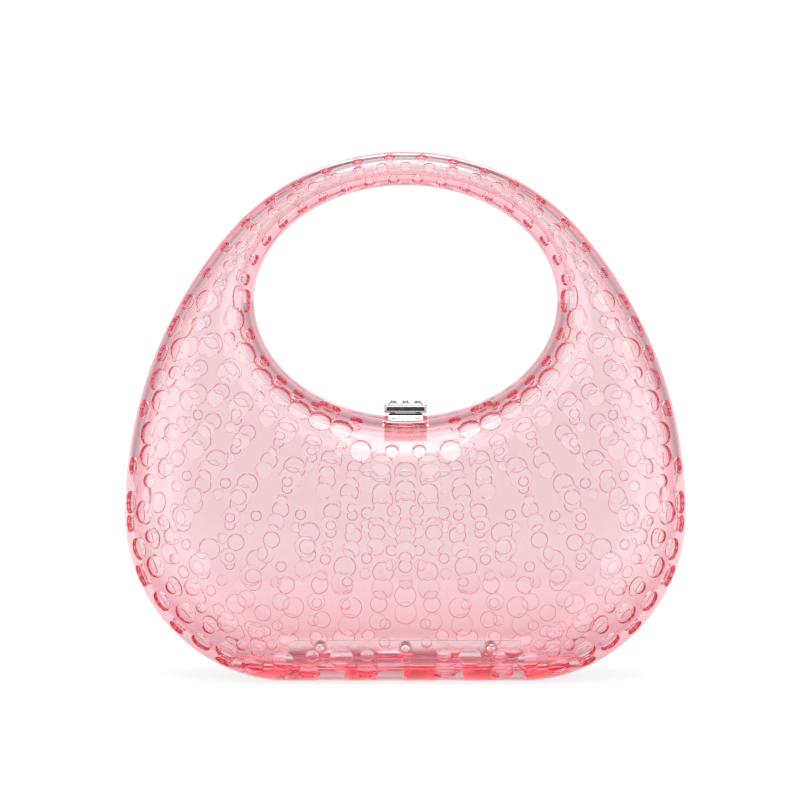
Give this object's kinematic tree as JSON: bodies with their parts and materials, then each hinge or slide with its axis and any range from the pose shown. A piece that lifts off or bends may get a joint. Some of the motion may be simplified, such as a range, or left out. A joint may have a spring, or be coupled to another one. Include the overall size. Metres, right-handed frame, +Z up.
{
  "type": "evening bag",
  "caption": "Clear moulded clamshell evening bag with an arched handle, oval hand hole, dimpled stone seats, base hinge and a small lever clasp.",
  "frame": {"origin": "middle of the foot on the table, at the parting plane between the two halves", "axes": "+X along the width, +Y from the front half to the back half, +Z up to the handle"},
  "size_m": [0.2098, 0.0604, 0.1965],
  "materials": {
    "clear_acrylic": "polished clear pink moulded acrylic",
    "nickel_plated_metal": "bright nickel plate",
    "cut_crystal": "polished cut clear stone"
  },
  "bodies": {
    "back_half": {"back_shell": "clear_acrylic", "back_hinge_leaf": "nickel_plated_metal", "back_hinge_rivet_1": "nickel_plated_metal", "back_hinge_rivet_2": "nickel_plated_metal", "back_hinge_rivet_3": "nickel_plated_metal", "hinge_pin": "nickel_plated_metal", "clasp_bracket": "nickel_plated_metal", "clasp_pin": "nickel_plated_metal"},
    "front_half": {"front_shell": "clear_acrylic", "front_hinge_leaf": "nickel_plated_metal", "front_hinge_rivet_1": "nickel_plated_metal", "front_hinge_rivet_2": "nickel_plated_metal", "front_hinge_rivet_3": "nickel_plated_metal", "clasp_catch": "nickel_plated_metal"},
    "latch": {"clasp_latch": "nickel_plated_metal", "clasp_stone_1": "cut_crystal", "clasp_stone_2": "cut_crystal", "clasp_stone_3": "cut_crystal"}
  },
  "joints": [
    {"name": "shell_hinge", "type": "hinge", "parent": "back_half", "child": "front_half", "pos_m": [0, 0, 0.003], "axis": [1, 0, 0], "range_deg": [0, 75]},
    {"name": "latch_pivot", "type": "hinge", "parent": "back_half", "child": "latch", "pos_m": [0, 0.003, 0.1006], "axis": [-1, 0, 0], "range_deg": [0, 100]}
  ]
}
